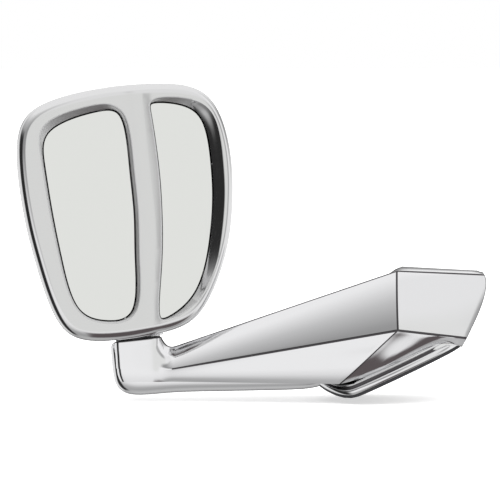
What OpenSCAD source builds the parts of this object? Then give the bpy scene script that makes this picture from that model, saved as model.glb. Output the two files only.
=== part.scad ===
// Arm-mounted exterior side mirror: a head with two adjustable glasses on a swivel post,
// a tapering arm and a wedge-shaped base that bolts to a sloping body panel.
// Millimetres. +Z is up, the glasses face -Y, the arm runs along X.
// The origin is the centre of the base's mounting face.

/* [Head] */
// Width of the head across its front frame
head_w = 193; // [186:1:198]
// Height of the head
head_h = 226; // [220:1:232]
// Distance from the post axis forward to the frame's crest
crest_y = 38; // [37:1:40]
// Distance from the post axis back to the rear of the bowl
bowl_y = 26; // [25:1:32]
// Wall thickness of every shell
wall = 3; // [2.5:0.5:3.5]
// Gap between a glass and its window
glass_gap = 1.6; // [1.4:0.1:2]
// Thickness of the glasses
glass_t = 3; // [2:0.5:3]

/* [Post and swivel] */
// Horizontal distance from the base to the post
reach = 239; // [236:1:242]
// Height of the neck's top over the base's centre
neck_z = 27; // [26:1:28]
// Lean of the post away from the vehicle
lean = 6.4; // [5:0.1:8]
// Tilt of the post backwards
pitch = 7; // [5:0.5:9]
// Turn of the head towards the vehicle at rest
yaw = 12; // [8:1:16]
// Radius of the post where the head turns on it
post_r = 6; // [5:0.5:6]
// Radius of the neck
neck_r = 21; // [20:1:22]

/* [Glass pivots] */
// Radius of the trunnions of the pivot crosses
trunnion_r = 2.5; // [2:0.5:3]
// Length of a trunnion from the middle of its cross
trunnion_l = 13; // [12:1:14]

/* [Base] */
// Slope of the body panel under the base
slope = 25; // [23:1:27]
// Diameter of the circle that the mounting holes lie on
bolt_circle = 56; // [50:1:60]
// Radius of the thread in the mounting inserts
bolt_r = 3; // [2.5:0.5:3]
// Thickness of the rubber gasket
gasket_t = 2.5; // [2:0.5:3]
// Height of the top of the flange over the mounting face
flange_top = 13; // [12:0.5:14]

/* [Hidden] */
$fn = 48;
STEPS = 4;                     // points on a free outline for each control point
EDGE = 1;                      // size of the small bevels on the arm's edges
FIT = 0.05;                    // radial clearance of a running fit

// Driving outlines of the front frame, seen from the front: [x, z] from the foot of the post,
// for a head of the nominal size. They are control points of closed smooth curves.
HEAD = [[-97, 190], [-79, 220], [-11, 229], [31, 228], [87, 223], [100, 164], [95, 114],
        [86, 70], [56, 12], [22, 3], [-49, 0], [-77, 16], [-90, 86], [-95, 121]];
MAIN = [[-73, 198], [-15, 210], [7, 208], [5, 150], [6, 112], [1, 75], [-1, 18], [-32, 18],
        [-60, 28], [-66, 80], [-70, 120], [-72, 165]];
AUX = [[27, 213], [62, 208], [80, 192], [80, 145], [78, 117], [72, 86], [63, 54], [48, 28],
       [19, 13], [14, 19], [25, 70], [29, 112], [31, 150], [29, 205]];
head_mid = [0, 0.51 * head_h];

// Depths in the head, along its own Y
rim_y = -crest_y + 10;         // widest ring of the frame
seat_y = rim_y - 1;            // where the windows are narrowest
glass_y = rim_y + glass_t;     // back of the glasses
pad_t = 1;                     // adhesive pads
carrier_t = 2.5;
carrier_y = glass_y + pad_t + carrier_t;
joint_y = -11;                 // where the bowl starts, behind the seal
seal_t = 1;
bezel_back = joint_y - seal_t;

// Stack on the post, along the head's own Z
neck_top = 1;
neck_seal_t = 1.4;
collar_z = neck_top + 1.8;
shoulder_z = 2;
boss_z = [4.1, 18];
friction_z = [18.1, 20];
spring_z = [20, 38];
cap_z = [38, 40];
nut_z = [40, 48];
post_top = 52;
boss_r = 12;
shoulder_r = 14;
socket_r = 12;
socket_z = [-26, -4];
collar_r = 23;
collar_h = 46;
front_collar = [7, 1.3];       // height of the collar's front half, and of the lip on its top

// Pivots of the glasses, in the head's own frame
pivot_y = -16;
MAIN_PIVOT = [-33, pivot_y, 113];
AUX_PIVOT = [53, pivot_y, 115];
lug_r = trunnion_r + 2;
lug_t = 5;
lug_in = 7;                    // from the middle of a cross to the inner face of a lug
plate_y = [3, 7];              // front and back of the bracket's plate
BRACKET_PTS = [[-54, 92], [-48, 146], [62, 98], [52, 150]];
BEZEL_PTS = [[15, 209], [87, 150], [67, 53], [-69, 44], [-81, 150]];

// Corner points of the arm and base, front half: [x, y, z], mirrored to the rear half
neck_pos = [-reach, 0, neck_z];
arm_low = -8;                  // underside of the shells
elbow_x = -7;
arm_x = -reach + 4;            // where the arm runs into the neck
ELBOW_TOP = [elbow_x, -19, 92];
ELBOW_RIDGE = [elbow_x, -43, 41];
END_TOP = [72, -12, 88];
END_RIDGE = [55, -34, 33];
HEEL = [-58, -35, arm_low];
SHELL_PTS = [[-190, 3], [-105, 22], [-30, 48]];
web_t = 10;                    // thickness of the core's web
insert_r = bolt_r + 1.5;       // outside of the threaded inserts
boss_top = 20;                 // top of the core's bosses over the mounting face

// ---- Curves ----------------------------------------------------------------------------

// Weights of a uniform cubic B-spline at t
function weights(t) =
    [pow(1 - t, 3), 3 * pow(t, 3) - 6 * t * t + 4,
     -3 * pow(t, 3) + 3 * t * t + 3 * t + 1, pow(t, 3)] / 6;

// Points of the closed curve with control points c
function curve(c, steps = STEPS) =
    let (n = len(c))
    [for (i = [0 : n - 1], s = [0 : steps - 1])
        let (w = weights(s / steps))
        w[0] * c[(i + n - 1) % n] + w[1] * c[i] + w[2] * c[(i + 1) % n] + w[3] * c[(i + 2) % n]];

// Moves a clockwise outline inwards by d, or outwards when d is negative
function inset(p, d) =
    let (n = len(p))
    [for (i = [0 : n - 1])
        let (t = p[(i + 1) % n] - p[(i + n - 1) % n])
        p[i] + d * [t[1], -t[0]] / norm(t)];

// Shrinks an outline towards m
function shrink(p, m, s) = [for (q = p) m + s * (q - m)];

// Scales the nominal outlines to the chosen head
function fitted(c) = [for (q = c) [q[0] * head_w / 193, q[1] * head_h / 226]];

head_outline = curve(fitted(HEAD));
main_outline = curve(fitted(MAIN));
aux_outline = curve(fitted(AUX));
main_back = shrink(main_outline, [MAIN_PIVOT[0], MAIN_PIVOT[2]], 0.85);
aux_back = shrink(aux_outline, [AUX_PIVOT[0], AUX_PIVOT[2]], 0.8);

// Closed solid through outlines that lie in planes of constant Y: rings = [[y, outline], ...]
module loft(rings) {
    n = len(rings[0][1]);
    m = len(rings);
    points = [for (r = rings, q = r[1]) [q[0], r[0], q[1]]];
    sides = [for (k = [0 : m - 2], i = [0 : n - 1])
        let (j = (i + 1) % n)
        [k * n + i, (k + 1) * n + i, (k + 1) * n + j, k * n + j]];
    front = [[for (i = [0 : n - 1]) i]];
    back = [[for (i = [n - 1 : -1 : 0]) (m - 1) * n + i]];
    polyhedron(points, concat(front, sides, back), convexity = 6);
}

// ---- Placing helpers -------------------------------------------------------------------

module in_head() {
    translate(neck_pos)
        rotate([0, -lean, 0])
            rotate([-pitch, 0, 0])
                rotate([0, 0, yaw])
                    children();
}

module in_base() {
    rotate([0, -slope, 0]) children();
}

// Prism with an outline in X and Z, between two values of Y
module plate(outline, y0, y1) {
    translate([0, y1, 0])
        rotate([90, 0, 0])
            linear_extrude(y1 - y0) polygon(outline);
}

// Cylinder along Y at [x, z]
module rod_y(p, r, y0, y1) {
    translate([p[0], y1, p[1]])
        rotate([90, 0, 0])
            cylinder(r = r, h = y1 - y0);
}

// Cylinder along X through a point
module rod_x(r, x0, x1) {
    translate([x0, 0, 0])
        rotate([0, 90, 0])
            cylinder(r = r, h = x1 - x0);
}

module ring(r_out, r_in, z0, z1) {
    translate([0, 0, z0])
        difference() {
            cylinder(r = r_out, h = z1 - z0);
            translate([0, 0, -1]) cylinder(r = r_in, h = z1 - z0 + 2);
        }
}

// Convex solid with the given points and their mirror images behind the XZ plane
module convex(points) {
    hull()
        for (q = points, side = [-1, 1])
            translate([q[0], q[1] * side, q[2]]) cube(EDGE, center = true);
}

// ---- Arm and base ----------------------------------------------------------------------

// A point on the arm's upper edge or ridge, carried on to the neck end of the arm
function toward_neck(p, rise, narrow) = [arm_x, p[1] * narrow, p[2] + rise * (arm_x - p[0])];

// Outer volume of neck, arm and base, or the hollow inside it when t is the wall
module arm_volume(t = 0) {
    top = toward_neck(ELBOW_TOP, 0.348, 0.35);
    ridge = toward_neck(ELBOW_RIDGE, 0.184, 0.5);
    low = arm_low + t;
    hull() {
        in_head() translate([0, 0, neck_top - 1 - t]) cylinder(r = neck_r - t, h = 1 + 2 * t);
        translate([-reach - 15 + t, -17 + t, low]) cube([42 - 2 * t, 34 - 2 * t, 1]);
        translate([-reach - 17 + t, -20 + t, low + 8]) cube([46 - 2 * t, 40 - 2 * t, 1]);
    }
    convex([top + [0, t, -1.4 * t], ridge + [0, 1.2 * t, 0], [arm_x, -14 + t, low],
            ELBOW_TOP + [0, t, -1.4 * t], ELBOW_RIDGE + [0, 1.2 * t, 0],
            HEEL + [2 * t, 1.4 * t, t]]);
    convex([ELBOW_TOP + [0, t, -1.4 * t], ELBOW_RIDGE + [0, 1.2 * t, 0],
            END_TOP + [-1.4 * t, t / 2, -1.2 * t], END_RIDGE + [-1.4 * t, t, 0],
            HEEL + [2 * t, 1.4 * t, t],
            [46 - t, -26 + t, 34 - 2 * t], [-46, -36 + 1.4 * t, arm_low - t]]);
}

// Cylinders along Y at the places of the screws that clamp the shells on the core
module at_shell_points(r, y0, y1) {
    for (p = SHELL_PTS) rod_y(p, r, y0, y1);
}

// Space that the base flange and its foot take out of the shells
module flange_space() {
    in_base() flange_layer(-0.4, -5, flange_top);
}

module arm_shell(side) {
    difference() {
        intersection() {
            arm_volume();
            translate([-400, side < 0 ? -200 : 0, -100]) cube([600, 200, 300]);
        }
        difference() {
            arm_volume(wall);
            at_shell_points(5, side < 0 ? -60 : web_t / 2, side < 0 ? -web_t / 2 : 60);
        }
        in_head() translate([0, 0, neck_top]) cylinder(r = 60, h = 60);
        if (side < 0) at_shell_points(1.8, -14, 1);
        if (side > 0) at_shell_points(2.3, -1, 60);
        if (side > 0) at_shell_points(4, 12, 60);
        flange_space();
    }
}

module arm_shell_front() {
    color("gainsboro") arm_shell(-1);
}

module arm_shell_rear() {
    color("gainsboro") arm_shell(1);
}

// Bright bead over the joint of the shells: down the neck's outer edge and along the underside
module keel_trim() {
    low = [[-reach - 25.5, 19], [-reach - 22, -8], [-reach - 18, -16], [-reach - 10, -21.5],
           [-reach + 4, -22.5], [-reach + 24, -20.5], [-reach + 40, -19], [-82, -17],
           [-76, -16.5]];
    high = [[-78, arm_low], [-reach - 10, arm_low], [-reach - 14, -4], [-reach - 16, 16]];
    color("silver")
        difference() {
            plate(concat(low, high), -9, 9);
            arm_volume();
            in_head() translate([0, 0, neck_top]) cylinder(r = 60, h = 60);
            in_base() flange_body(0);
        }
}

// Plan of the flange in the base's own frame, moved inwards by d
function flange_plan(d) =
    inset(curve([[-76, -8], [-76, 8], [-66, 26], [-48, 38], [-15, 41], [24, 37], [50, 30],
                 [60, 16], [60, -16], [50, -30], [24, -37], [-15, -41], [-48, -38],
                 [-66, -26]]), d);

// Height of the flange's underside: flat on the panel, rising at the heel
function heel_rise(x) = x < -45 ? 0.022 * pow(x + 45, 2) : 0;

// A layer of the flange between two heights over its underside
module flange_layer(d, h0, h1) {
    xs = [-80, -75, -70, -64, -58, -52, -45, 70];
    profile = concat([for (x = xs) [x, heel_rise(x) + h0]],
                     [for (i = [len(xs) - 1 : -1 : 0]) [xs[i], heel_rise(xs[i]) + h1]]);
    intersection() {
        plate(profile, -60, 60);
        translate([0, 0, -5]) linear_extrude(60) polygon(flange_plan(d));
    }
}

// The flange without its hollow: two beads with a groove between them, level with the
// shells' underside at the heel
module flange_body(h0) {
    difference() {
        union() {
            flange_layer(0, h0, 7.5);
            flange_layer(3, 7.5, 10.5);
            flange_layer(1.5, 10.5, flange_top);
        }
        rotate([0, slope, 0])
            translate([-200, -60, arm_low]) cube([200 + HEEL[0] + 12, 120, 60]);
    }
}

module base_flange() {
    color("silver")
        in_base()
            difference() {
                flange_body(gasket_t);
                flange_layer(8, -1, 40);
            }
}

// Cylinders across the mounting face at the three bolts
module at_bolts(r, z0, z1) {
    for (a = [0, 120, 240])
        rotate([0, 0, a])
            translate([bolt_circle / 2, 0, z0]) cylinder(r = r, h = z1 - z0);
}

module base_gasket() {
    color([0.08, 0.08, 0.09])
        in_base()
            difference() {
                flange_layer(1, 0, gasket_t);
                at_bolts(insert_r + 0.2, -1, 10);
            }
}

// Die-cast core: foot with three bosses, web along the arm and socket for the post
module arm_core() {
    color("dimgray")
        difference() {
            union() {
                in_base() {
                    intersection() {
                        translate([0, 0, gasket_t]) linear_extrude(6) polygon(flange_plan(8.5));
                        translate([-43, -60, 0]) cube([150, 120, 20]);
                    }
                    at_bolts(insert_r + 2.8, gasket_t + 1, boss_top);
                }
                plate([[-reach + 6, -4], [-49, -4], [-36, -11], [36, 23], [38, 36], [38, 60],
                       [-8, 68], [-reach + 6, 5]], -web_t / 2, web_t / 2);
                in_head()
                    translate([0, 0, socket_z[0]])
                        cylinder(r = socket_r, h = socket_z[1] - socket_z[0]);
            }
            in_head() translate([0, 0, socket_z[0] + 2]) cylinder(r = post_r + 2, h = 40);
            at_shell_points(2.3, -20, 20);
            in_base() at_bolts(insert_r, -1, 30);
            for (x = [-145, -70]) rod_y([x, 0.18 * (x + 208) + 2], 5, -20, 20);
        }
}

// Threaded inserts, flush with the mounting face so that the bolts don't crush the gasket
module mount_inserts() {
    color("goldenrod")
        in_base()
            difference() {
                at_bolts(insert_r, 0, boss_top);
                at_bolts(bolt_r, -1, boss_top + 1);
            }
}

module shell_screws() {
    color("gray") {
        at_shell_points(3.6, 12, 14.5);
        at_shell_points(1.8, -13, 12);
    }
}

// ---- Post and its stack ----------------------------------------------------------------

module swivel_post() {
    color("lightsteelblue")
        in_head() {
            translate([0, 0, socket_z[0] + 2])
                cylinder(r = post_r + 2, h = -socket_z[0] - 4);
            translate([0, 0, -4]) cylinder(r = shoulder_r, h = shoulder_z + 4);
            cylinder(r = post_r, h = post_top);
        }
}

module neck_seal() {
    color([0.1, 0.1, 0.1])
        in_head() ring(neck_r - 1, shoulder_r + 0.5, neck_top, neck_top + neck_seal_t);
}

module thrust_washer() {
    color("ivory")
        in_head() ring(boss_r, post_r, shoulder_z, shoulder_z + 2);
}

module friction_washer() {
    color("ivory")
        in_head() ring(boss_r - 1, post_r, friction_z[0], friction_z[1]);
}

// Coil spring swept along a helix, with closed ends
module head_spring() {
    turns = 5;
    steps = 18;
    sides = 8;
    wire = 1.2;
    coil = 8.6;
    count = turns * steps;
    travel = spring_z[1] - spring_z[0] - 2 * wire - 0.2;
    points = [for (k = [0 : count], s = [0 : sides - 1])
        let (a = 360 * k / steps,
             b = 360 * s / sides,
             r = coil + wire * cos(b))
        [r * cos(a), r * sin(a), spring_z[0] + wire + 0.1 + travel * k / count + wire * sin(b)]];
    walls = [for (k = [0 : count - 1], s = [0 : sides - 1])
        let (t = (s + 1) % sides)
        [k * sides + s, (k + 1) * sides + s, (k + 1) * sides + t, k * sides + t]];
    first = [[for (s = [0 : sides - 1]) s]];
    last = [[for (s = [sides - 1 : -1 : 0]) count * sides + s]];
    color("slategray")
        in_head()
            polyhedron(points, concat(first, walls, last), convexity = 10);
}

module spring_cap() {
    color("silver")
        in_head() ring(boss_r - 1, post_r, cap_z[0], cap_z[1]);
}

module lock_nut() {
    color("silver")
        in_head()
            difference() {
                union() {
                    translate([0, 0, nut_z[0]]) cylinder(r = 10.9, h = 6, $fn = 6);
                    translate([0, 0, nut_z[0] + 6]) cylinder(r = 8.6, h = 2);
                }
                translate([0, 0, nut_z[0] - 1]) cylinder(r = post_r, h = 12);
            }
}

// ---- Head ------------------------------------------------------------------------------

// Rear bowl's volume: t is the wall that is left round the hollow
module bowl_volume(t = 0) {
    depth = bowl_y - joint_y - t;
    rings = 8;
    start = inset(head_outline, 3 + t);
    loft(concat([[joint_y - (t > 0 ? 1 : 0), start]],
                [for (k = [0 : rings - 1])
                    let (d = 0.97 * (k + 0.4) / (rings - 0.6),
                         s = pow(1 - pow(d, 2.6), 1 / 2.6))
                    [joint_y + depth * d, shrink(start, head_mid, s)]]));
}

module at_points(pts, r, y0, y1) {
    for (p = pts) rod_y(p, r, y0, y1);
}

module head_shell() {
    color("gainsboro")
        in_head()
            difference() {
                union() {
                    bowl_volume();
                    intersection() {
                        translate([0, 0, collar_z]) cylinder(r = collar_r, h = collar_h - collar_z);
                        translate([-50, joint_y, 0]) cube([100, 60, 60]);
                    }
                }
                difference() {
                    bowl_volume(wall);
                    at_points(BRACKET_PTS, 5, plate_y[1], 40);
                    at_points(BEZEL_PTS, 5.8, joint_y, 40);
                }
                translate([0, 0, -1]) cylinder(r = collar_r - wall, h = collar_h);
                at_points(BRACKET_PTS, 1.9, plate_y[1] - 1, plate_y[1] + 9);
                at_points(BEZEL_PTS, 1.9, -30, 60);
                at_points(BEZEL_PTS, 3.8, joint_y + 5, 60);
            }
}

module window_cut(outline) {
    loft([[-crest_y - 0.5, inset(outline, -8.5)], [seat_y, outline], [bezel_back - 3, outline]]);
}

module bezel() {
    color("gainsboro")
        in_head()
            difference() {
                union() {
                    loft([[-crest_y, inset(head_outline, 9)],
                          [-crest_y + 0.6, inset(head_outline, 6)],
                          [-crest_y + 2.5, inset(head_outline, 3)],
                          [-crest_y + 6, inset(head_outline, 0.8)],
                          [rim_y, head_outline],
                          [rim_y + 8, inset(head_outline, 1)],
                          [bezel_back, inset(head_outline, 3)]]);
                    intersection() {
                        translate([0, 0, collar_z]) cylinder(r = collar_r, h = front_collar[0]);
                        translate([-50, -40, 0]) cube([100, 40 + bezel_back, 60]);
                    }
                }
                difference() {
                    plate(inset(head_outline, 3 + wall), glass_y, 0);
                    at_points(BEZEL_PTS, 4.6, glass_y - 1, 0);
                }
                window_cut(main_outline);
                window_cut(aux_outline);
                at_points(BEZEL_PTS, 1.6, glass_y + 1, 0);
                translate([0, 0, -1])
                    cylinder(r = collar_r - wall, h = collar_z + front_collar[0] - front_collar[1] + 1);
                plate(inset(head_outline, -20), bezel_back, 5);
            }
}

module bezel_seal() {
    color([0.1, 0.1, 0.1])
        in_head()
            difference() {
                plate(inset(head_outline, 3.2), bezel_back, joint_y);
                plate(inset(head_outline, 5.2), bezel_back - 1, joint_y + 1);
                translate([0, 0, -10]) cylinder(r = collar_r + 0.2, h = 30);
            }
}

// A pair of lugs with bores along Z for a cross at c, standing on the bracket's plate
module bracket_lugs(c) {
    for (side = [-1, 1])
        translate([c[0], 0, c[2] + side * (lug_in + lug_t / 2)]) {
            translate([-lug_r, c[1], -lug_t / 2]) cube([2 * lug_r, plate_y[0] - c[1] + 1, lug_t]);
            translate([0, c[1], -lug_t / 2]) cylinder(r = lug_r, h = lug_t);
        }
}

module bracket_bores(c) {
    translate([c[0], c[1], c[2] - 20]) cylinder(r = trunnion_r + FIT, h = 40);
}

module head_bracket() {
    color("dimgray")
        in_head()
            difference() {
                union() {
                    translate([0, 0, boss_z[0]]) cylinder(r = boss_r, h = boss_z[1] - boss_z[0]);
                    translate([-9, 2, boss_z[0]]) cube([18, 14, boss_z[1] - boss_z[0]]);
                    translate([-9, 12, boss_z[0]]) cube([18, 4, 66 - boss_z[0]]);
                    translate([-9, plate_y[0], 58]) cube([18, 16 - plate_y[0], 8]);
                    plate([[-9, 58], [9, 58], [30, 74], [62, 90], [70, 98], [60, 152], [50, 158],
                           [24, 146], [-22, 142], [-48, 154], [-56, 148], [-62, 92], [-54, 84],
                           [-24, 72]], plate_y[0], plate_y[1]);
                    bracket_lugs(MAIN_PIVOT);
                    bracket_lugs(AUX_PIVOT);
                }
                translate([0, 0, -1]) cylinder(r = post_r + FIT, h = 30);
                bracket_bores(MAIN_PIVOT);
                bracket_bores(AUX_PIVOT);
                at_points(BRACKET_PTS, 2.2, 0, 10);
                for (x = [-10, 22]) rod_y([x, 112], 10, 0, 10);
            }
}

// A screw along Y with its head in front of y0 and its shank reaching back to y1
module bracket_screws() {
    color("gray")
        in_head() {
            at_points(BRACKET_PTS, 3.8, plate_y[0] - 2.5, plate_y[0]);
            at_points(BRACKET_PTS, 1.9, plate_y[0] - 1, plate_y[1] + 8);
        }
}

module bezel_screws() {
    color("gray")
        in_head() {
            at_points(BEZEL_PTS, 3.4, joint_y + 5, joint_y + 7.5);
            at_points(BEZEL_PTS, 1.6, glass_y + 2, joint_y + 6);
        }
}

// ---- Glasses ---------------------------------------------------------------------------

// Pivot cross: vertical trunnions turn in the bracket, level ones in the carrier
module pivot_cross(c) {
    color("ivory")
        in_head()
            translate(c) {
                translate([0, 0, -trunnion_l]) cylinder(r = trunnion_r, h = 2 * trunnion_l);
                rod_x(trunnion_r, -trunnion_l, trunnion_l);
                cube([11, 2 * trunnion_r + 1, 11], center = true);
            }
}

// Carrier plate with the given outline behind a glass, with two lugs for the cross at c
module carrier(back, c) {
    color([0.16, 0.16, 0.17])
        in_head()
            difference() {
                union() {
                    plate(back, carrier_y - carrier_t, carrier_y);
                    for (side = [-1, 1])
                        translate([c[0] + side * (lug_in + lug_t / 2), 0, c[2]]) {
                            translate([-lug_t / 2, carrier_y - 1, -lug_r])
                                cube([lug_t, c[1] - carrier_y + 1, 2 * lug_r]);
                            translate([0, c[1], 0]) rod_x(lug_r, -lug_t / 2, lug_t / 2);
                        }
                }
                translate(c) rod_x(trunnion_r + FIT, -20, 20);
            }
}

module pad(back) {
    color([0.25, 0.25, 0.26])
        in_head() plate(back, glass_y, glass_y + pad_t);
}

module glass(outline) {
    color([0.86, 0.87, 0.86])
        in_head() plate(inset(outline, glass_gap), glass_y - glass_t, glass_y);
}

module main_cross() {
    pivot_cross(MAIN_PIVOT);
}

module main_carrier() {
    carrier(main_back, MAIN_PIVOT);
}

module main_pad() {
    pad(main_back);
}

module main_glass() {
    glass(main_outline);
}

module aux_cross() {
    pivot_cross(AUX_PIVOT);
}

module aux_carrier() {
    carrier(aux_back, AUX_PIVOT);
}

module aux_pad() {
    pad(aux_back);
}

module aux_glass() {
    glass(aux_outline);
}

arm_shell_front();
arm_shell_rear();
keel_trim();
arm_core();
base_flange();
base_gasket();
mount_inserts();
shell_screws();
swivel_post();
neck_seal();
thrust_washer();
friction_washer();
head_spring();
spring_cap();
lock_nut();
head_shell();
bezel();
bezel_seal();
head_bracket();
bracket_screws();
bezel_screws();
main_cross();
main_carrier();
main_pad();
main_glass();
aux_cross();
aux_carrier();
aux_pad();
aux_glass();
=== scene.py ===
"""Looks of the arm-mounted side mirror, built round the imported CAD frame. Lengths are in mm until
a mesh is made, when MM turns them into metres. +Z is up, the glasses face -Y, the arm runs along X.
"""
import math

import bmesh
import bpy
import numpy as np
from mathutils import Matrix, Vector
from mathutils.geometry import delaunay_2d_cdt


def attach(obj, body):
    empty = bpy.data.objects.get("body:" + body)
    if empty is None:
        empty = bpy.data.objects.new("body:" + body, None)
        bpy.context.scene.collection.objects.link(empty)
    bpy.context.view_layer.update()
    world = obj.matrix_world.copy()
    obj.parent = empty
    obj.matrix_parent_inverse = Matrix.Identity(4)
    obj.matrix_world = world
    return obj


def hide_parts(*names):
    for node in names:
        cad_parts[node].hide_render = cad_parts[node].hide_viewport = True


MM = 0.001

# ---- Driving dimensions, shared with part.scad ------------------------------------------

REACH = 239
NECK_Z = 27
LEAN, PITCH, YAW = 6.4, 7, 12
NECK_R = 21
NECK_TOP = 1
COLLAR_R = 23
COLLAR_Z = NECK_TOP + 1.8
COLLAR_H = 46
WALL = 3
CREST_Y = -38
RIM_Y = -28
SEAT_Y = -29
GLASS_BACK = -25
BEZEL_BACK = -12
JOINT_Y = -11
BOWL_Y = 26
BOWL_INSET = 3
SLOPE = 25
GASKET_T = 2.5
FLANGE_TOP = 13
ARM_LOW = -8
HEAD_MID = np.array([0, 115.3])
HEAD = [(-97, 190), (-79, 220), (-11, 229), (31, 228), (87, 223), (100, 164), (95, 114),
        (86, 70), (56, 12), (22, 3), (-49, 0), (-77, 16), (-90, 86), (-95, 121)]
MAIN = [(-73, 198), (-15, 210), (7, 208), (5, 150), (6, 112), (1, 75), (-1, 18), (-32, 18),
        (-60, 28), (-66, 80), (-70, 120), (-72, 165)]
AUX = [(27, 213), (62, 208), (80, 192), (80, 145), (78, 117), (72, 86), (63, 54), (48, 28),
       (19, 13), (14, 19), (25, 70), (29, 112), (31, 150), (29, 205)]
BEZEL_PTS = [(15, 209), (87, 150), (67, 53), (-69, 44), (-81, 150)]
SHELL_PTS = [(-190, 3), (-105, 22), (-30, 48)]

# ---- Small mathematics ------------------------------------------------------------------


def lerp(a, b, t):
    return a + (b - a) * t


def unit(v):
    return v / np.linalg.norm(v)


def smooth(t):
    t = np.clip(t, 0, 1)
    return t * t * (3 - 2 * t)


def rotation(axis, degrees):
    return np.array(Matrix.Rotation(math.radians(degrees), 3, axis))


HEAD_TURN = rotation("Y", -LEAN) @ rotation("X", -PITCH) @ rotation("Z", YAW)
BASE_TURN = rotation("Y", -SLOPE)
NECK_POS = np.array([-REACH, 0, NECK_Z])


def in_head(p):
    return HEAD_TURN @ np.asarray(p, float) + NECK_POS


def in_base(p):
    return BASE_TURN @ np.asarray(p, float)


def curve(control, steps, closed=True):
    """Points of a uniform cubic B-spline. An open one starts and ends at its end points."""
    c = np.array(control, float)
    if not closed:
        c = np.vstack([2 * c[0] - c[1], c, 2 * c[-1] - c[-2]])
    n = len(c)
    out = []
    for i in range(n if closed else n - 3):
        k = [(i + j - 1) % n if closed else i + j for j in range(4)]
        for t in np.arange(steps) / steps:
            w = np.array([(1 - t) ** 3, 3 * t**3 - 6 * t * t + 4,
                          -3 * t**3 + 3 * t * t + 3 * t + 1, t**3]) / 6
            out.append(w @ c[k])
    if not closed:
        out.append(c[-2])
    return np.array(out)


def normals(outline):
    """Outward normals of a clockwise outline."""
    t = np.roll(outline, -1, 0) - np.roll(outline, 1, 0)
    n = np.stack([-t[:, 1], t[:, 0]], 1)
    return n / np.linalg.norm(n, axis=1)[:, None]


def grown(outline, d):
    return outline + normals(outline) * np.reshape(d, (-1, 1))


def inside(points, outline):
    """True for each point that lies inside the outline."""
    x, z = np.asarray(points, float).T
    result = np.zeros(len(x), bool)
    for (x0, z0), (x1, z1) in zip(outline, np.roll(outline, -1, 0)):
        cross = (z0 > z) != (z1 > z)
        with np.errstate(divide="ignore", invalid="ignore"):
            at = x0 + (z - z0) * (x1 - x0) / (z1 - z0)
        result ^= cross & (x < at)
    return result


# ---- Materials --------------------------------------------------------------------------


def material(name, colour, metallic=0.0, roughness=0.5, grain=0.0, grain_size=200, bump=0.0,
             coat=0.0):
    """Principled material whose roughness and relief vary with a fine noise on the object."""
    m = bpy.data.materials.new(name)
    m.use_nodes = True
    tree = m.node_tree
    shader = tree.nodes["Principled BSDF"]
    shader.inputs["Base Color"].default_value = (*colour, 1)
    shader.inputs["Metallic"].default_value = metallic
    shader.inputs["Roughness"].default_value = roughness
    shader.inputs["Coat Weight"].default_value = coat
    coords = tree.nodes.new("ShaderNodeTexCoord")
    noise = tree.nodes.new("ShaderNodeTexNoise")
    noise.inputs["Scale"].default_value = grain_size
    noise.inputs["Detail"].default_value = 3
    tree.links.new(coords.outputs["Object"], noise.inputs["Vector"])
    if grain:
        spread = tree.nodes.new("ShaderNodeMapRange")
        spread.inputs["To Min"].default_value = max(roughness - grain, 0.01)
        spread.inputs["To Max"].default_value = roughness + grain
        tree.links.new(noise.outputs["Fac"], spread.inputs["Value"])
        tree.links.new(spread.outputs["Result"], shader.inputs["Roughness"])
    if bump:
        relief = tree.nodes.new("ShaderNodeBump")
        relief.inputs["Strength"].default_value = bump
        relief.inputs["Distance"].default_value = 0.0003
        tree.links.new(noise.outputs["Fac"], relief.inputs["Height"])
        tree.links.new(relief.outputs["Normal"], shader.inputs["Normal"])
    return m


CHROME = material("chrome", (0.82, 0.82, 0.83), 1, 0.1, 0.03, 60)
FRAME_CHROME = material("frame_chrome", (0.75, 0.75, 0.755), 1, 0.1, 0.03, 60)
SATIN = material("satin_chrome", (0.72, 0.72, 0.725), 1, 0.45, 0.04, 60)
# Dark chrome that paints shade: dark lines on the arm's crease bevels and the band in the base's
# groove
PAINTED_SHADE = material("painted_shade_chrome", (0.09, 0.085, 0.09), 1, 0.3, 0.05, 300)
MIRROR = material("mirror_glass", (0.85, 0.856, 0.842), 1, 0.03, 0.01, 20, coat=0.2)
RUBBER = material("rubber", (0.025, 0.025, 0.028), 0, 0.6, 0.1, 400, 0.3)
CAST = material("cast_alloy", (0.45, 0.45, 0.46), 1, 0.5, 0.12, 500, 0.5)
BRASS = material("brass", (0.80, 0.60, 0.28), 1, 0.28, 0.08, 300)
STEEL = material("steel", (0.62, 0.62, 0.63), 1, 0.25, 0.08, 400)
SPRING = material("spring_steel", (0.40, 0.41, 0.43), 1, 0.35, 0.08, 400)
NYLON = material("nylon", (0.82, 0.79, 0.70), 0, 0.45, 0.08, 300, 0.1)
PLASTIC = material("black_plastic", (0.03, 0.03, 0.032), 0, 0.45, 0.1, 600, 0.3)
PAD = material("adhesive_pad", (0.09, 0.09, 0.10), 0, 0.9, 0.05, 800, 0.4)

NODE_MATERIALS = {
    "arm_core": CAST, "head_bracket": CAST, "mount_inserts": BRASS, "shell_screws": STEEL,
    "swivel_post": STEEL, "neck_seal": RUBBER, "base_gasket": RUBBER, "bezel_seal": RUBBER,
    "thrust_washer": NYLON, "friction_washer": NYLON, "main_cross": NYLON, "aux_cross": NYLON,
    "head_spring": SPRING, "spring_cap": STEEL, "lock_nut": STEEL, "bracket_screws": STEEL,
    "bezel_screws": STEEL, "main_carrier": PLASTIC, "aux_carrier": PLASTIC, "main_pad": PAD,
    "aux_pad": PAD,
}

# ---- Mesh building ----------------------------------------------------------------------


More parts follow.
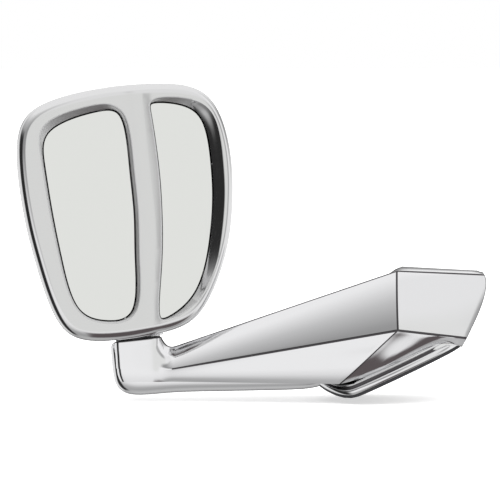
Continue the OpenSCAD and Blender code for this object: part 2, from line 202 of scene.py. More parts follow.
class Surface:
    """Collects faces in millimetres. Points that fall together become one vertex."""

    def __init__(self, place=None):
        self.place = place
        self.index = {}
        self.points = []
        self.faces = []
        self.slots = []
        self.slot = 0
        self.creases = {}

    def point(self, p):
        key = tuple(np.round(p, 3) + 0.0)
        if key not in self.index:
            self.index[key] = len(self.points)
            self.points.append(self.place(p) if self.place else np.asarray(p, float))
        return self.index[key]

    def face(self, corners):
        ids = [self.point(p) for p in corners]
        ids = [a for a, b in zip(ids, ids[1:] + ids[:1]) if a != b]
        if len(set(ids)) == len(ids) > 2:
            self.faces.append(ids)
            self.slots.append(self.slot)

    def grid(self, rows):
        for a, b in zip(rows[:-1], rows[1:]):
            for i in range(len(a) - 1):
                self.face([a[i], a[i + 1], b[i + 1], b[i]])

    def rings(self, rings):
        self.grid([list(r) + [r[0]] for r in rings])

    def crease(self, line, weight=1.0):
        """Edges along a line to be bevelled; weight is one number or one for each edge."""
        ids = [self.point(p) for p in line]
        weights = np.broadcast_to(weight, len(ids) - 1)
        for a, b, w in zip(ids[:-1], ids[1:], weights):
            if a != b and w > 0.01:
                self.creases[frozenset((a, b))] = float(w)

    def fill(self, outer, holes, lift, spacing=None):
        """Triangles over a flat region in X and Z; lift turns (x, z) into a point."""
        loops = [np.asarray(loop) for loop in [outer, *holes]]
        verts = [Vector(p) for loop in loops for p in loop]
        edges = []
        start = 0
        for loop in loops:
            n = len(loop)
            edges += [(start + i, start + (i + 1) % n) for i in range(n)]
            start += n
        if spacing:
            lo, hi = loops[0].min(0), loops[0].max(0)
            xs, zs = np.meshgrid(np.arange(lo[0], hi[0], spacing), np.arange(lo[1], hi[1], spacing))
            grid = np.stack([xs.ravel(), zs.ravel()], 1)
            keep = inside(grid, grown(loops[0], -1.5))
            for hole in loops[1:]:
                keep &= ~inside(grid, grown(hole, 1.5))
            verts += [Vector(p) for p in grid[keep]]
        out = delaunay_2d_cdt(verts, edges, [], 1, 1e-5)
        xz = np.array(out[0])
        faces = out[2]
        mids = np.array([xz[f].mean(0) for f in faces])
        keep = inside(mids, loops[0])
        for hole in loops[1:]:
            keep &= ~inside(mids, hole)
        for f, wanted in zip(faces, keep):
            if wanted:
                self.face([lift(p) for p in xz[f]])

    def build(self, name, materials, sharp=40, bevel=0.0, cap=False):
        mesh = bpy.data.meshes.new(name)
        mesh.from_pydata([tuple(p * MM) for p in self.points], [], self.faces)
        mesh.polygons.foreach_set("material_index", self.slots)
        bm = bmesh.new()
        bm.from_mesh(mesh)
        if cap:
            open_edges = [e for e in bm.edges if e.is_boundary]
            bmesh.ops.holes_fill(bm, edges=open_edges, sides=0)
        bmesh.ops.recalc_face_normals(bm, faces=bm.faces)
        if self.creases:
            weights = bm.edges.layers.float.new("bevel_weight_edge")
            for e in bm.edges:
                e[weights] = self.creases.get(frozenset(v.index for v in e.verts), 0)
        bm.to_mesh(mesh)
        bm.free()
        obj = bpy.data.objects.new(name, mesh)
        bpy.context.scene.collection.objects.link(obj)
        for m in materials:
            mesh.materials.append(m)
        if bevel:
            mod = obj.modifiers.new("edges", "BEVEL")
            mod.limit_method = "WEIGHT"
            mod.width = bevel * MM
            mod.segments = 3
            mod.use_clamp_overlap = False
            # The bevel faces take the last material; on the arm shells it is dark, a painted line
            # of shade along each crease
            mod.material = len(materials) - 1
            apply(obj)
        finish_normals(obj, sharp)
        return obj


def apply(obj):
    """Replaces the object's mesh by the result of its modifiers."""
    evaluated = obj.evaluated_get(bpy.context.evaluated_depsgraph_get())
    mesh = bpy.data.meshes.new_from_object(evaluated)
    obj.modifiers.clear()
    obj.data = mesh


def finish_normals(obj, sharp):
    obj.data.polygons.foreach_set("use_smooth", [True] * len(obj.data.polygons))
    obj.data.set_sharp_from_angle(angle=math.radians(sharp))
    obj.data.update()


def cut(obj, cutters):
    """Takes the cutters out of the object and deletes them."""
    for c in cutters:
        mod = obj.modifiers.new("cut", "BOOLEAN")
        mod.object = c
        mod.solver = "EXACT"
        apply(obj)
        bpy.data.objects.remove(c)


def rod(name, radius, y0, y1, centre, place=None, materials=(), inner=0.0, sides=40):
    """Closed cylinder or tube along Y round the point (x, z)."""
    s = Surface(place)
    angles = np.arange(sides) * 2 * math.pi / sides
    circle = np.stack([np.cos(angles), np.sin(angles)], 1)

    def ring(r, y):
        return [np.array([centre[0] + r * c, y, centre[1] + r * d]) for c, d in circle]

    rings = [ring(inner, y0), ring(radius, y0), ring(radius, y1), ring(inner, y1)]
    s.rings(rings + rings[:1] if inner else rings)
    return s.build(name, materials, 30)


# ---- Head -------------------------------------------------------------------------------

OUTLINE_STEPS = 10
head_outline = curve(HEAD, OUTLINE_STEPS)
main_outline = curve(MAIN, OUTLINE_STEPS)
aux_outline = curve(AUX, OUTLINE_STEPS)


def facing(outline, direction, power):
    """How far each point of an outline faces a direction, from 0 to 1."""
    return np.clip(normals(outline) @ unit(np.array(direction, float)), 0, 1) ** power


def ring_at(outline, y):
    """Points of an outline at the depth y, which is one number or one for each point."""
    return [np.array([p[0], d, p[1]]) for p, d in zip(outline, np.broadcast_to(y, len(outline)))]


HEAD_HALF = 97
CROWN = 0.6                    # how far the front lies back at the head's sides
BAR_CROWN = 1.2                # how far the front lies back away from the divider's middle
BAR_HALF = 9
BAR_X, BAR_SHIFT, BAR_BEND = 6, 12, 120   # divider's X at the foot, its shift up to BAR_BEND
RIM_ROLL = 10.0
RIM_NARROW_RIGHT, RIM_NARROW_LEFT = 4.5, 3
EDGE_ROUND = 1.3
FLAT_INSET = 0.3               # flat front's edge, inside the last ring of each roll
WALL_RUN = 0.8                 # width of a window's wall, and what its broadest part adds
MAIN_RUN, AUX_RUN = 5.5, 8.7
BEZEL_SIDE = [(1.6, -16), (0.8, -20), (0.2, -24)]
GLASS_GAP = 0.8                # half of the CAD's, for the thin dark line in the photo
GLASS_BEVEL, GLASS_EDGE = 0.5, 1.2
AUX_DOME = 0.5
SEAT_FLARE = 2.4               # room behind the seats for the glasses' edges when they turn
WELL_R, WELL_OUTER_R = 3.8, 5.6


def crowned(p):
    """Bends the frame's front back a little towards its sides and away from the divider."""
    share = smooth((RIM_Y - p[1]) / (RIM_Y - CREST_Y))
    bar_x = BAR_X + BAR_SHIFT * smooth(p[2] / BAR_BEND)
    bar = BAR_CROWN * (1 - math.exp(-((p[0] - bar_x) / BAR_HALF) ** 2))
    return in_head([p[0], p[1] + share * (CROWN * (p[0] / HEAD_HALF) ** 2 + bar), p[2]])


def rim_rings():
    """Rolled rim from its widest ring to the flat front; narrower on both upright sides."""
    roll = RIM_ROLL - RIM_NARROW_RIGHT * facing(head_outline, (1, 0.1), 2)
    roll = roll - RIM_NARROW_LEFT * facing(head_outline, (-1, 0), 2)
    rings = []
    for a in np.radians(np.linspace(0, 90, 13)):
        y = RIM_Y + (CREST_Y - RIM_Y) * math.sin(a)
        rings.append(ring_at(grown(head_outline, -roll * (1 - math.cos(a))), y))
    return rings, grown(head_outline, -roll - FLAT_INSET)


def window_rings(outline, width):
    """Rings from a rounded edge down a sloping wall to the seat, which flares behind the glass.
    The second result is the hole in the flat front.
    """
    depth = SEAT_Y - CREST_Y
    slope = np.arctan2(depth, width)
    start = width + EDGE_ROUND * np.tan(slope / 2)
    rings = []
    for t in np.linspace(0, 1, 7):
        a = slope * t
        rings.append((start - EDGE_ROUND * np.sin(a), CREST_Y + EDGE_ROUND * (1 - np.cos(a))))
    last = rings[-1]
    for t in np.linspace(0, 1, 6)[1:]:
        rings.append((last[0] * (1 - t), lerp(last[1], SEAT_Y, t)))
    rings.append((np.full(len(outline), SEAT_FLARE), np.full(len(outline), GLASS_BACK)))
    return [ring_at(grown(outline, d), y) for d, y in rings], grown(outline, start + FLAT_INSET)


def build_bezel():
    """Front frame with both windows, a rounded rim and the pocket behind."""
    main_width = WALL_RUN + MAIN_RUN * facing(main_outline, (-0.6, 0.8), 3)
    aux_width = WALL_RUN + AUX_RUN * facing(aux_outline, (1, 0.25), 1.5)
    s = Surface(crowned)
    rim, flat_outer = rim_rings()
    main_rings, main_hole = window_rings(main_outline, main_width)
    aux_rings, aux_hole = window_rings(aux_outline, aux_width)
    back = ring_at(grown(head_outline, -BOWL_INSET), BEZEL_BACK)
    sides = [ring_at(grown(head_outline, -d), y) for d, y in BEZEL_SIDE]
    s.rings([back, *sides, *rim, ring_at(flat_outer, CREST_Y)])
    windows = [(main_outline, main_rings, main_hole), (aux_outline, aux_rings, aux_hole)]
    for outline, rings, hole in windows:
        rings = [ring_at(hole, CREST_Y), *rings]
        # The walls are satin, but for the polished one on the aux window's outer side
        polished = facing(outline, (1, 0.2), 1) > 0.6
        for i, j in enumerate(np.roll(range(len(outline)), -1)):
            s.slot = 0 if outline is aux_outline and polished[i] else 1
            s.grid([[r[i], r[j]] for r in rings])
    s.slot = 0
    s.fill(flat_outer, [main_hole, aux_hole], lambda p: np.array([p[0], CREST_Y, p[1]]), 5)
    pocket = grown(head_outline, -BOWL_INSET - WALL)
    s.rings([back, ring_at(pocket, BEZEL_BACK), ring_at(pocket, GLASS_BACK)])
    backs = [grown(outline, SEAT_FLARE) for outline in (main_outline, aux_outline)]
    s.fill(pocket, backs, lambda p: np.array([p[0], GLASS_BACK, p[1]]))
    bezel = s.build("front_frame", [FRAME_CHROME, SATIN], 50)
    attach(bezel, "head")
    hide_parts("bezel")


BOWL_POWER = 2.6


def bowl_rings(t):
    """Rings of the rear bowl's outer skin, or of its inner one when t is the wall."""
    start = grown(head_outline, -BOWL_INSET - t)
    depth = BOWL_Y - JOINT_Y - t
    rings = []
    for a in np.radians(np.linspace(0, 90, 40)):
        s = math.cos(a) ** (2 / BOWL_POWER)
        y = JOINT_Y + depth * math.sin(a) ** (2 / BOWL_POWER)
        rings.append(ring_at(HEAD_MID + s * (start - HEAD_MID), y))
    return rings


def bowl_back(p):
    """Depth of the bowl's skin behind the point (x, z)."""
    start = grown(head_outline, -BOWL_INSET)
    lo, hi = 0.0, 1.0
    for _ in range(30):
        s = (lo + hi) / 2
        if inside([p], HEAD_MID + s * (start - HEAD_MID))[0]:
            hi = s
        else:
            lo = s
    return JOINT_Y + (BOWL_Y - JOINT_Y) * (1 - s**BOWL_POWER) ** (1 / BOWL_POWER)


def post_opening():
    """Cutter for the room that the post and its stack take inside the collar."""
    s = Surface(in_head)
    circle = [(COLLAR_R - WALL) * np.array([math.cos(a), math.sin(a), 0])
              for a in np.radians(np.arange(0, 360, 5))]
    s.rings([[p + [0, 0, z] for p in circle] for z in (-1, COLLAR_H)])
    return s.build("opening", [], 30, cap=True)


def build_head_shell():
    s = Surface(in_head)
    outer, inner = bowl_rings(0), bowl_rings(WALL)
    s.rings(outer)
    s.rings(inner)
    s.rings([outer[0], inner[0]])
    shell = s.build("head_bowl", [CHROME], 50)
    cut(shell, [rod("well", WELL_R, -5, 60, p, in_head) for p in BEZEL_PTS] + [post_opening()])
    finish_normals(shell, 35)
    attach(shell, "head")
    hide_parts("head_shell")
    for i, p in enumerate(BEZEL_PTS):
        back = bowl_back(p) - 2.2
        well = rod(f"screw_well_{i + 1}", WELL_OUTER_R, -6, back, p, in_head, [PLASTIC], WELL_R)
        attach(well, "head")
    build_collar()


COLLAR_ROUND = 12
COLLAR_EDGE = 0.8
COLLAR_FRONT = 6               # height of the collar's front, which ends under the glasses


def build_collar():
    """Turned collar that covers the swivel; its top rounds over into the bowl."""
    s = Surface(in_head)
    profile = [(COLLAR_R - WALL, COLLAR_Z), (COLLAR_R - COLLAR_EDGE, COLLAR_Z),
               (COLLAR_R, COLLAR_Z + COLLAR_EDGE)]
    top = COLLAR_H - COLLAR_ROUND
    profile.append((COLLAR_R, top - 6))
    for a in np.radians(np.linspace(0, 80, 10)):
        r = COLLAR_R - COLLAR_ROUND * (1 - math.cos(a))
        profile.append((r, top + COLLAR_ROUND * math.sin(a)))
    profile += [(10, top + 6), (COLLAR_R - WALL - 1, top - 4)]
    angles = np.arange(72) * 2 * math.pi / 72
    rows = []
    for a in angles:
        limit = COLLAR_H if math.sin(a) > -0.35 else COLLAR_Z + COLLAR_FRONT
        rows.append([np.array([r * math.cos(a), r * math.sin(a), min(z, limit)])
                     for r, z in profile])
    s.grid([*rows, rows[0]])
    s.grid([[r[-1], r[0]] for r in [*rows, rows[0]]])
    collar = s.build("swivel_collar", [CHROME], 40)
    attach(collar, "head")


def build_glasses():
    """Glasses with a fine bevel round the edge; the auxiliary one is slightly domed."""
    for name, outline, body, dome in (("main_glass", main_outline, "main_mirror", 0.0),
                                      ("aux_glass", aux_outline, "aux_mirror", AUX_DOME)):
        edge = grown(outline, -GLASS_GAP)
        mid = (edge.min(0) + edge.max(0)) / 2
        span = np.abs(edge - mid).max(0)

        def front(p):
            q = (p - mid) / span
            return np.array([p[0], RIM_Y + dome * min(q @ q, 1.2), p[1]])

        s = Surface(in_head)
        face = grown(edge, -GLASS_BEVEL)
        side = [ring_at(edge, y) for y in (GLASS_BACK, RIM_Y + GLASS_EDGE)]
        s.rings([*side, [front(p) for p in face]])
        s.fill(face, [], front, 6)
        s.fill(edge, [], lambda p: np.array([p[0], GLASS_BACK, p[1]]))
        glass = s.build(name + "_plate", [MIRROR], 20)
        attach(glass, body)
        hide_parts(name)


# ---- Arm and base -----------------------------------------------------------------------

ELBOW_X = -7
ARM_X = -205
ELBOW_TOP = (ELBOW_X, 19, 92)
ELBOW_RIDGE = (ELBOW_X, 43, 41)
END_TOP = (72, 12, 88)
END_RIDGE = (55, 34, 33)
HEEL = (-58, 35, ARM_LOW)
FOOT = [HEEL, (-40, 33, -3.9), (-16, 36, 7.4), (14, 32.8, 21.5), (32, 29, 28.8), (44, 28, 27.2),
        (51, 29, 24.5)]
ARM_TOP_START = (ARM_X, 8.6, 23.2)
ARM_RIDGE_START = (ARM_X, 23.8, 4.5)
ARM_LOW_START = (ARM_X, 20, ARM_LOW)
SHELL_WELL_R = 4
SHELL_WELL_Y = 14.6
NECK_SQUARE = 2 / 7            # power that turns the neck's plan into a rounded square
NECK_RIDGE_Z = 4
NECK_RIDGE_R = 22.5
NECK_FOOT_R = (18, 21.5)
NECK_SHIFT = (1.5, 2)          # the plan's shift along X at the ridge, and below it
UPPER_BULGE, LOWER_BULGE = (1.6, 3.0), (0.8, 2.6)   # the arm's facets, at the neck and elbow
RAIL_END = (64, 18)            # angle where the topmost and the lower rails leave the neck
REAR_DROP = 0.28               # how much lower the rear top edge lies, as a share of its Y
STRIP_RISE = 5.0               # how far the base's top is raised along its middle line
END_BOW = 5.5
BASE_BULGE = 0.6
SKIRT_DROP = 6
CREASE_WIDTH = 1.1
ARC_STEPS, BLEND_STEPS, ARM_STEPS, BASE_STEPS = 22, 12, 28, 14
FACET_STEPS = 14
FOOT_STEPS, FOOT_STRIDE = 7, 3   # every third point of FOOT's curve gives BASE_STEPS + 1 points


def neck_point(angle, v, side):
    """Neck surface: v runs from the rim at 0 over the ridge's height at 1 to the foot at 2."""
    sx = math.copysign(abs(math.sin(angle)) ** NECK_SQUARE, math.sin(angle))
    sy = abs(math.cos(angle)) ** NECK_SQUARE
    if v <= 1:
        rx = NECK_R
        ry = lerp(NECK_R, NECK_RIDGE_R, v)
        cx = lerp(0, NECK_SHIFT[0], v)
    else:
        rx = lerp(NECK_R, NECK_FOOT_R[0], (v - 1) ** 2)
        ry = lerp(NECK_RIDGE_R, NECK_FOOT_R[1], (v - 1) ** 2)
        cx = NECK_SHIFT[1]
    x, y = rx * sx, side * ry * sy
    rim_z = HEAD_TURN[:, 2] @ (NECK_TOP * HEAD_TURN[:, 2])
    rim_z = (rim_z - HEAD_TURN[0, 2] * x - HEAD_TURN[1, 2] * y) / HEAD_TURN[2, 2] + NECK_Z
    z = lerp(rim_z, NECK_RIDGE_Z, v) if v <= 1 else lerp(NECK_RIDGE_Z, ARM_LOW, v - 1)
    return np.array([x + cx - REACH, y, z])


def arm_point(s, v, side):
    """Arm surface from s = 0 beside the neck to s = 1 at the elbow; v as on the neck."""
    top = lerp(np.array(ARM_TOP_START), np.array(ELBOW_TOP), s)
    if side > 0:
        top[2] -= REAR_DROP * top[1]
    ridge = lerp(np.array(ARM_RIDGE_START), np.array(ELBOW_RIDGE), s)
    low = lerp(np.array(ARM_LOW_START), np.array(HEEL), s)
    if v <= 1:
        a, b, w = top, ridge, v
        bulge = lerp(*UPPER_BULGE, s) * 4 * w * (1 - w)
    else:
        a, b, w = ridge, low, v - 1
        bulge = lerp(*LOWER_BULGE, s) * 6.75 * w * w * (1 - w)
    along = np.array(ELBOW_RIDGE) - np.array(ARM_RIDGE_START)
    n = unit(np.cross(along, b - a))
    n = n if n[1] > 0 else -n
    p = lerp(a, b, w) + n * bulge
    return p * [1, side, 1]


def rail(v, side):
    """One line of the shell's surface from the neck's outer end to the elbow."""
    end = math.radians(lerp(*RAIL_END, smooth(v * 2.5)))
    arc = [neck_point(a, v, side) for a in np.linspace(-math.pi / 2, end, ARC_STEPS)]
    last, first = arc[-1], arm_point(0, v, side)
    leave = unit(last - arc[-2])
    drop = unit(np.array([1.0, -0.6 * side, -2.2]))
    leave = unit(lerp(drop, leave, smooth(v * 1.6)))
    reach = np.linalg.norm(first - last)
    arrive = unit(arm_point(0.02, v, side) - first)
    p1, p2 = last + leave * reach * 0.4, first - arrive * reach * 0.4
    blend = []
    for t in np.linspace(0, 1, BLEND_STEPS + 1)[1:]:
        start = (1 - t) ** 3 * last + 3 * t * (1 - t) ** 2 * p1
        blend.append(start + 3 * t * t * (1 - t) * p2 + t**3 * first)
    return [*arc, *blend, *[arm_point(s, v, side) for s in np.linspace(0, 1, ARM_STEPS + 1)[1:]]]


def patch(top, bottom, left, right, bulge):
    """Rows of points between four edges, raised by bulge(u, w) along the outward normal."""
    rows = []
    du = top[-1] - top[0] + bottom[-1] - bottom[0]
    dw = left[-1] - left[0] + right[-1] - right[0]
    n = unit(np.cross(du, dw))
    n = n if n[1] * top[0][1] > 0 else -n
    for j, w in enumerate(np.linspace(0, 1, len(left))):
        row = []
        for i, u in enumerate(np.linspace(0, 1, len(top))):
            p = lerp(top[i], bottom[i], w) + lerp(left[j], right[j], u)
            p = p - lerp(lerp(top[0], top[-1], u), lerp(bottom[0], bottom[-1], u), w)
            row.append(p + n * bulge(u, w))
        rows.append(row)
    return rows


def line(a, b, steps):
    return [lerp(np.array(a, float), np.array(b, float), t) for t in np.linspace(0, 1, steps + 1)]


def midline(p):
    return np.array([p[0], 0, p[2]])


def upper_bulge(u, w):
    """Bulge of the base's upper facet, with none at its edges."""
    return BASE_BULGE * 16 * u * (1 - u) * w * (1 - w)


def lower_bulge(u, w):
    """Bulge of the base's lower facet: a roll below the ridge that fades towards the foot."""
    across = smooth(u * 2) * (1 - smooth(u * 4 - 3))
    return across * (1 - math.exp(-w / 0.08)) * (1 - w)


def build_arm_shell(side, name, node):
    """Half of the neck, arm and base on one side of the plane Y = 0; side is -1 in front."""
    s = Surface()
    flip = np.array([1, side, 1])
    upper = [rail(v, side) for v in np.linspace(0, 1, FACET_STEPS + 1)]
    lower = [rail(v, side) for v in np.linspace(1, 2, FACET_STEPS + 1)]
    s.grid(upper)
    s.grid(lower)
    elbow = [row[-1] for row in upper]
    heel_edge = [row[-1] for row in lower]
    end_top, end_ridge = (np.array(p) * flip for p in (END_TOP, END_RIDGE))
    top_edge = line(elbow[0], end_top, BASE_STEPS)
    ridge_edge = line(elbow[-1], end_ridge, BASE_STEPS)
    foot = curve(FOOT, FOOT_STEPS, False) * flip
    foot_edge = [*foot[::FOOT_STRIDE]]
    shares = np.linspace(0, 1, FACET_STEPS + 1)
    end_upper = [p + [END_BOW * math.sin(math.pi * t**0.7), 0, 0]
                 for t, p in zip(shares, line(end_top, end_ridge, FACET_STEPS))]
    end_lower = line(end_ridge, foot_edge[-1], FACET_STEPS)
    s.grid(patch(top_edge, ridge_edge, elbow, end_upper, upper_bulge))
    s.grid(patch(ridge_edge, foot_edge, heel_edge, end_lower, lower_bulge))
    top_line = [*upper[0], *top_edge[1:]]
    end_line = [*end_upper, *end_lower[1:]]
    # The skirt closes the gap between the foot's edge and the flange
    skirt = [p + in_base([0, 0, -SKIRT_DROP * smooth(5 * u - 0.8) * (1 - smooth(3 * u - 1.8))])
             for u, p in zip(np.linspace(0, 1, BASE_STEPS + 1), foot_edge)]
    s.grid([foot_edge, skirt])
    low_line = [*lower[-1], *skirt]
    end_line = [*end_line, skirt[-1]]
    far = rail(0, -side)
    opposite = [*far, *line(far[-1], end_top * [1, -1, 1], BASE_STEPS)[1:]]
    along = np.linspace(0, 1, BASE_STEPS)
    base_rise = STRIP_RISE * (1 - 0.55 * along) * (along < 1)
    rise = [*np.zeros(len(far) - 1), STRIP_RISE / 2, *base_rise]
    # The top strip is flat from both top lines to the middle, which is raised along the base
    middle = [(p + q) / 2 * [1, 0, 1] + [0, 0, r] for p, q, r in zip(top_line, opposite, rise)]
    s.grid([top_line, [lerp(p, q, 0.5) for p, q in zip(top_line, middle)], middle])
    for edge in (low_line, end_line):
        s.grid([edge, [lerp(p, midline(p), 0.5) for p in edge], [midline(p) for p in edge]])
    neck_n = ARC_STEPS + BLEND_STEPS
    # The ridge's crease, bevelled with a painted dark line of shade, fades in where the arm leaves
    # the neck
    fade = np.concatenate([np.zeros(neck_n - 4), smooth(np.linspace(0, 1, 6)), np.ones(ARM_STEPS)])
    s.crease(upper[-1], fade[:len(upper[-1]) - 1])
    s.crease(top_line, 1.1)
    s.crease(middle[len(far) - 1:], 0.7)
    s.crease(elbow, 0.8)
    s.crease(ridge_edge, 1.0)
    s.crease(heel_edge, 0.55)
    s.crease(end_upper, 0.6)
    # The crease bevels take the last material, which paints dark lines of shade along them
    shell = s.build(name, [CHROME, PAINTED_SHADE], 50, bevel=CREASE_WIDTH, cap=True)
    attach(shell, "arm")
    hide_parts(node)
    return shell


def build_arm():
    build_arm_shell(-1, "arm_cover_front", "arm_shell_front")
    rear = build_arm_shell(1, "arm_cover_rear", "arm_shell_rear")
    cut(rear, [rod("well", SHELL_WELL_R, SHELL_WELL_Y, 80, p) for p in SHELL_PTS])
    finish_normals(rear, 50)


# The keel's root and crest in the plane Y = 0, from the neck's rim to the base
KEEL_ROOT = [(-260.5, 24), (-257.5, 14), (-255, 0), (-251.5, -6.5), (-243, -8.5), (-225, -8),
             (-200, -8), (-160, -8), (-110, -8), (-84, -8), (-72, -8)]
KEEL_CREST = [(-264.2, 24), (-263.5, 12), (-262, -4), (-259.5, -15), (-249, -23), (-228, -22.2),
              (-206, -19.6), (-160, -19), (-110, -18), (-84, -17.2), (-70, -13)]
KEEL_HALF = 9.0
ROOT_DEPTH, ROOT_SPREAD = 0.12, 1.22   # how deep and how wide the bead's root is in the arm
LIP_R = 1.1


def build_keel():
    """Half-round bead down the neck's outer edge, round the corner and along the underside,
    with a thin lip along each side.
    """
    inner, outer = curve(KEEL_ROOT, 8, False), curve(KEEL_CREST, 8, False)
    s = Surface()
    rows = []
    for i, (a, b) in enumerate(zip(inner, outer)):
        end = min(1.0, (i + 0.6) / 5)
        share = math.sqrt(1 - (1 - end) ** 2)
        row = []
        for t in np.radians(np.linspace(-90, 90, 25)):
            y = KEEL_HALF * share * math.sin(t)
            p = lerp(a, b, math.cos(t) * lerp(0.3, 1, share))
            row.append(np.array([p[0], y, p[1]]))
        root = a + (a - b) * ROOT_DEPTH
        first, last = (np.array([root[0], p[1] * ROOT_SPREAD, root[1]]) for p in (row[0], row[-1]))
        rows.append([first, *row, last])
    s.grid(rows)
    s.grid([[r[0] for r in rows], [r[-1] for r in rows]])
    for side in (-1, 1):
        lip = []
        for a, b in zip(inner, outer):
            centre = np.array([a[0], side * (KEEL_HALF + LIP_R), a[1]])
            out = unit(np.array([b[0] - a[0], 0, b[1] - a[1]]))
            lip.append([centre + LIP_R * (math.sin(t) * out + math.cos(t) * np.array([0, 1, 0]))
                        for t in np.radians(np.arange(0, 361, 30))])
        s.grid(lip)
    keel = s.build("keel_bead", [CHROME], 60, cap=True)
    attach(keel, "arm")
    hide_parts("keel_trim")


PLAN = [(-76, -8), (-76, 8), (-66, 26), (-48, 38), (-15, 41), (24, 37), (50, 30),
        (60, 16), (60, -16), (50, -30), (24, -37), (-15, -41), (-48, -38), (-66, -26)]
# Each bead: depth behind the plan, radius across, middle height, half height, points
LOWER_BEAD = (1.8, 1.8, 5.4, 2.9, 13)
UPPER_BEAD = (2.8, 1.2, 11.9, 1.1, 11)
# Closed profile of the dark band of painted shade in the groove: depth behind the plan and height
GROOVE_SHADE_BAND = [(3.2, 8), (3.6, 9.5), (3.2, 11), (6, 11), (6, 8), (3.2, 8)]
HEEL_X = -45                   # the plan rises behind it, where the heel curves up


def bead(depth, across, middle, half, points):
    """Profile of a rounded bead, as depth behind the plan and height."""
    return [(depth - across * math.sin(a), middle - half * math.cos(a))
            for a in np.radians(np.linspace(10, 170, points))]


def build_flange():
    """Two rounded beads with a groove between them, following the panel and the heel."""
    plan = curve(PLAN, 10)

    def level(d, h):
        ring = []
        for x, y in grown(plan, -d):
            rise = 0.022 * (x - HEEL_X) ** 2 if x < HEEL_X else 0
            p = in_base([x, y, rise + h])
            if p[0] < -44 and p[2] > ARM_LOW:
                p[2] = ARM_LOW
            ring.append(p)
        return ring

    profile = [(8, GASKET_T), (1.6, GASKET_T), *bead(*LOWER_BEAD), (5, 8.3), (5, 10.8)]
    profile += [*bead(*UPPER_BEAD), (8, FLANGE_TOP)]
    # A dark band set in the groove paints the groove's shade
    groove = Surface()
    groove.rings([level(d, h) for d, h in GROOVE_SHADE_BAND])
    band = groove.build("base_groove_painted_shade", [PAINTED_SHADE], 45)
    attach(band, "arm")
    s = Surface()
    s.rings([level(d, h) for d, h in [*profile, profile[0]]])
    flange = s.build("base_beads", [CHROME], 45)
    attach(flange, "arm")
    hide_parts("base_flange")


# ---- Studio -----------------------------------------------------------------------------

# Grey level of the surroundings at each elevation in degrees
SKY = [(-90, 0.6), (-60, 0.42), (-45, 0.5), (-28, 0.85), (-14, 1.0), (0, 1.0), (5, 0.7),
       (12, 0.34), (24, 0.36), (42, 0.62), (60, 1.0), (90, 1.0)]
# Cards round the object: azimuth and elevation ranges, softness in degrees, colour.
# Azimuth 0 is where the photographer stands, 90 is on the vehicle's side.
CARDS = [
    ("front", (3, 34), (-12, 40), 7, (0.87, 0.875, 0.86)),
    ("front_right", (33, 54), (-10, 18), 6, (0.5, 0.5, 0.5)),
    ("high_right", (8, 60), (26, 60), 7, (0.93, 0.93, 0.93)),
    ("right", (58, 108), (-30, 60), 7, (1, 1, 1)),
    ("left_dark", (-90, -44), (-70, 24), 7, (0.03, 0.03, 0.03)),
    ("left_light", (-130, -99), (-60, 60), 6, (0.9, 0.9, 0.9)),
    ("low_right", (11, 60), (-70, -29), 6, (0.12, 0.103, 0.106)),
    ("behind", (163, 197), (-48, 8), 5, (0.03, 0.03, 0.03)),
    ("behind_high", (125, 235), (22, 62), 6, (1.0, 1.0, 1.0)),
]


def build_world():
    """Grey surroundings with soft cards for the reflections, and plain white for the camera."""
    world = bpy.data.worlds.new("studio")
    bpy.context.scene.world = world
    world.use_nodes = True
    tree = world.node_tree
    links = tree.links

    def node(kind, *inputs, **settings):
        n = tree.nodes.new("ShaderNode" + kind)
        for key, value in settings.items():
            setattr(n, key, value)
        for socket, value in zip(n.inputs, inputs):
            if hasattr(value, "links"):
                links.new(value, socket)
            elif value is not None:
                socket.default_value = value
        return n.outputs[0]

    direction = node("TexCoord")
    split = tree.nodes.new("ShaderNodeSeparateXYZ")
    links.new(direction, split.inputs[0])
    x, y, z = split.outputs
    to_degrees = 180 / math.pi
    elevation = node("Math", node("Math", z, operation="ARCSINE"), to_degrees, operation="MULTIPLY")
    back = node("Math", y, -1.0, operation="MULTIPLY")
    around = node("Math", x, back, operation="ARCTAN2")
    azimuth = node("Math", around, to_degrees, operation="MULTIPLY")

    def step(value, at, softness):
        return node("MapRange", value, at - softness, at + softness, 0.0, 1.0,
                    interpolation_type="SMOOTHSTEP")

    def band(value, low, high, softness):
        rising = step(value, low, softness)
        falling = node("Math", 1.0, step(value, high, softness), operation="SUBTRACT")
        return node("Math", rising, falling, operation="MULTIPLY")

    def mixed(a, b, factor):
        n = tree.nodes.new("ShaderNodeMix")
        n.data_type = "RGBA"
        links.new(factor, n.inputs["Factor"])
        links.new(a, n.inputs[6])
        n.inputs[7].default_value = (*b, 1)
        return n.outputs[2]

    level = SKY[0][1]
    for (e0, g0), (e1, g1) in zip(SKY[:-1], SKY[1:]):
        rise = node("MapRange", elevation, float(e0), float(e1), 0.0, g1 - g0)
        level = node("Math", level, rise, operation="ADD")
    joined = tree.nodes.new("ShaderNodeCombineColor")
    for socket in joined.inputs:
        links.new(level, socket)
    colour = joined.outputs[0]
    turned = node("Math", node("Math", azimuth, 360.0, operation="ADD"), 360.0, operation="MODULO")
    for _, (a0, a1), (e0, e1), softness, card_colour in CARDS:
        across = band(turned if a1 > 180 else azimuth, a0, a1, softness)
        mask = node("Math", across, band(elevation, e0, e1, softness), operation="MULTIPLY")
        colour = mixed(colour, card_colour, mask)
    reflected = tree.nodes["Background"]
    links.new(colour, reflected.inputs["Color"])
    seen = tree.nodes.new("ShaderNodeBackground")
    seen.inputs["Color"].default_value = (1, 1, 1, 1)
    seen.inputs["Strength"].default_value = 1.0
    choose = tree.nodes.new("ShaderNodeMixShader")
    path = tree.nodes.new("ShaderNodeLightPath")
    links.new(path.outputs["Is Camera Ray"], choose.inputs[0])
    links.new(reflected.outputs[0], choose.inputs[1])
    links.new(seen.outputs[0], choose.inputs[2])
    links.new(choose.outputs[0], tree.nodes["World Output"].inputs[0])


FLOOR_Z = -27
FLOOR_HALF = 12000
FLOOR_GLOW = 0.55


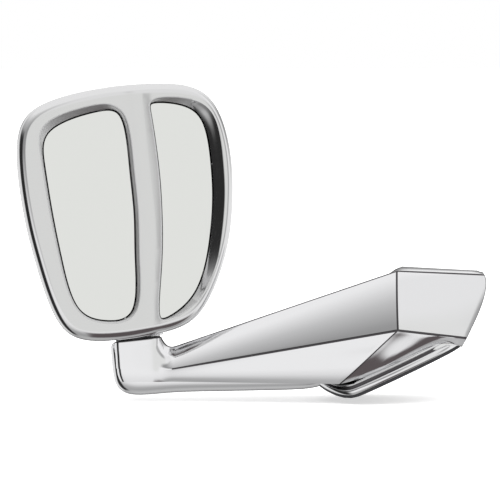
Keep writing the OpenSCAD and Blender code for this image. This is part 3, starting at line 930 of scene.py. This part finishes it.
def build_floor():
    s = Surface()
    ends = (-FLOOR_HALF, FLOOR_HALF)
    s.grid([[np.array([x, y, FLOOR_Z]) for x in ends] for y in ends])
    m = material("floor", (0.93, 0.93, 0.93), 0, 0.9, 0.02, 5)
    shader = m.node_tree.nodes["Principled BSDF"]
    shader.inputs["Emission Color"].default_value = (1, 1, 1, 1)
    shader.inputs["Emission Strength"].default_value = FLOOR_GLOW
    shader.inputs["Specular IOR Level"].default_value = 0.0
    floor = s.build("floor", [m])
    floor.visible_glossy = False


# The softbox, in metres, degrees and watts
LAMP_SIZE = 3.0
LAMP_PLACE = (-0.4, -0.8, 2.6)
LAMP_TILT = 17
LAMP_POWER = 60


def build_lights():
    light = bpy.data.lights.new("softbox", "AREA")
    light.shape = "RECTANGLE"
    light.size, light.size_y = LAMP_SIZE, LAMP_SIZE
    light.energy = LAMP_POWER
    lamp = bpy.data.objects.new("softbox", light)
    lamp.location = LAMP_PLACE
    lamp.rotation_euler = (math.radians(LAMP_TILT), 0, 0)
    lamp.visible_glossy = False
    bpy.context.scene.collection.objects.link(lamp)


CAMERA_DISTANCE = 2600
CAMERA_ELEVATION = 5
CAMERA_TARGET = (-138.25, 0, 108.9)
VIEW_WIDTH = 450
SENSOR_WIDTH = 36


def build_camera():
    camera = bpy.data.cameras.new("camera")
    camera.sensor_width = SENSOR_WIDTH
    camera.lens = SENSOR_WIDTH * CAMERA_DISTANCE / VIEW_WIDTH
    camera.clip_start, camera.clip_end = 0.1, 100
    obj = bpy.data.objects.new("camera", camera)
    e = math.radians(CAMERA_ELEVATION)
    away = Vector((0, -math.cos(e), math.sin(e)))
    obj.location = (Vector(CAMERA_TARGET) + away * CAMERA_DISTANCE) * MM
    obj.rotation_euler = (-away).to_track_quat("-Z", "Y").to_euler()
    bpy.context.scene.collection.objects.link(obj)
    bpy.context.scene.camera = obj


# ---- Scene ------------------------------------------------------------------------------

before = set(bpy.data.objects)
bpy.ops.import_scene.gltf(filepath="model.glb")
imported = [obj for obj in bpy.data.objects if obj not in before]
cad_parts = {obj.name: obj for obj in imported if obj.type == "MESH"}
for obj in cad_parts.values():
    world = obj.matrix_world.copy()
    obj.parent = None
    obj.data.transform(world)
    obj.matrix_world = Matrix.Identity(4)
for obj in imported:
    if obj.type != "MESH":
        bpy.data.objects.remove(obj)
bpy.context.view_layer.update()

for node_name, finish in NODE_MATERIALS.items():
    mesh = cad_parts[node_name].data
    mesh.materials.clear()
    mesh.materials.append(finish)

build_bezel()
build_head_shell()
build_glasses()
build_arm()
build_keel()
build_flange()
build_world()
build_floor()
build_lights()
build_camera()
bpy.context.scene.view_settings.view_transform = "Standard"
